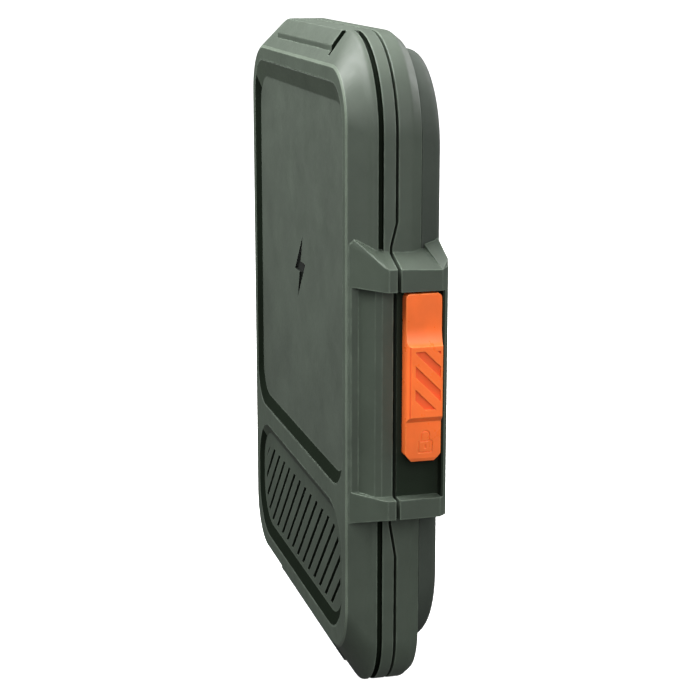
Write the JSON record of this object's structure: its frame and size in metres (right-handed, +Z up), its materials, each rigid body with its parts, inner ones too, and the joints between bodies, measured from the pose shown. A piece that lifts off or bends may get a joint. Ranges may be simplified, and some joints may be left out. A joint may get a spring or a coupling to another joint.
{
  "type": "magnetic power bank",
  "caption": "Slim rugged magnetic power bank with a hinged front lid over the battery, a sliding side lock and a soft magnetic back pad.",
  "frame": {"origin": "centre of the bounding box's foot: the flat lower end of the standing case, midway between the hinge barrels and the lock slider", "axes": "+Z up along the case's height, -Y out of the lid's face, +Y out of the magnetic back pad, +X to the lock side"},
  "size_m": [0.073, 0.0142, 0.0975],
  "materials": {
    "case_plastic": "fine moulded olive green-grey polycarbonate, satin",
    "panel_skin": "pebbled leather-like moulded skin",
    "grip_plastic": "fine matt moulding with diagonal grooves",
    "pad_silicone": "soft-touch silicone",
    "lock_plastic": "satin orange plastic",
    "steel": "brushed",
    "magnet": "nickel plated",
    "copper": "enamelled winding",
    "gold": "gold plated",
    "ferrite": "matt black ferrite",
    "circuit_board": "solder mask",
    "chip": "moulded epoxy",
    "cell_foil": "laminated pouch foil",
    "foam": "closed-cell foam",
    "ribbon": "woven tape",
    "light_guide": "frosted clear"
  },
  "bodies": {
    "tray": {"rear_shell": "case_plastic", "rear_pad": "pad_silicone", "hinge_pin": "steel", "detent_spring": "steel", "ferrite_shield": "ferrite", "charging_coil": "copper", "ring_magnet_01": "magnet", "ring_magnet_02": "magnet", "ring_magnet_03": "magnet", "ring_magnet_04": "magnet", "ring_magnet_05": "magnet", "ring_magnet_06": "magnet", "ring_magnet_07": "magnet", "ring_magnet_08": "magnet", "ring_magnet_09": "magnet", "ring_magnet_10": "magnet", "ring_magnet_11": "magnet", "ring_magnet_12": "magnet", "alignment_magnet": "magnet", "main_board": "circuit_board", "board_screw_1": "steel", "board_screw_2": "steel", "charge_controller": "chip", "wireless_driver": "chip", "power_inductor": "ferrite", "output_capacitor": "chip", "usb_port_shell": "steel", "usb_port_tongue": "chip", "button_switch": "chip", "light_guide": "light_guide", "status_led_1": "light_guide", "status_led_2": "light_guide", "status_led_3": "light_guide", "status_led_4": "light_guide", "contact_block": "chip", "contact_pin_1": "gold", "contact_pin_2": "gold", "contact_pin_3": "gold", "battery_cell": "cell_foil", "battery_board": "circuit_board", "battery_contact_1": "gold", "battery_contact_2": "gold", "battery_contact_3": "gold", "pull_tab": "ribbon"},
    "cover": {"front_cover": "case_plastic", "front_panel": "panel_skin", "grip_panel": "grip_plastic", "cover_foam": "foam"},
    "lock": {"lock_slider": "lock_plastic", "hook_plate": "steel"},
    "button": {"power_button": "case_plastic"}
  },
  "joints": [
    {"name": "cover_hinge", "type": "hinge", "parent": "tray", "child": "cover", "pos_m": [-0.0346, 0, 0.049], "axis": [0, 0, -1], "range_deg": [0, 165]},
    {"name": "lock_slide", "type": "slide", "parent": "tray", "child": "lock", "axis": [0, 0, -1], "range_m": [0, 0.0055]},
    {"name": "button_press", "type": "slide", "parent": "tray", "child": "button", "axis": [0, 0, 1], "range_m": [0, 0.0005], "stiffness_N_per_m": 900}
  ]
}
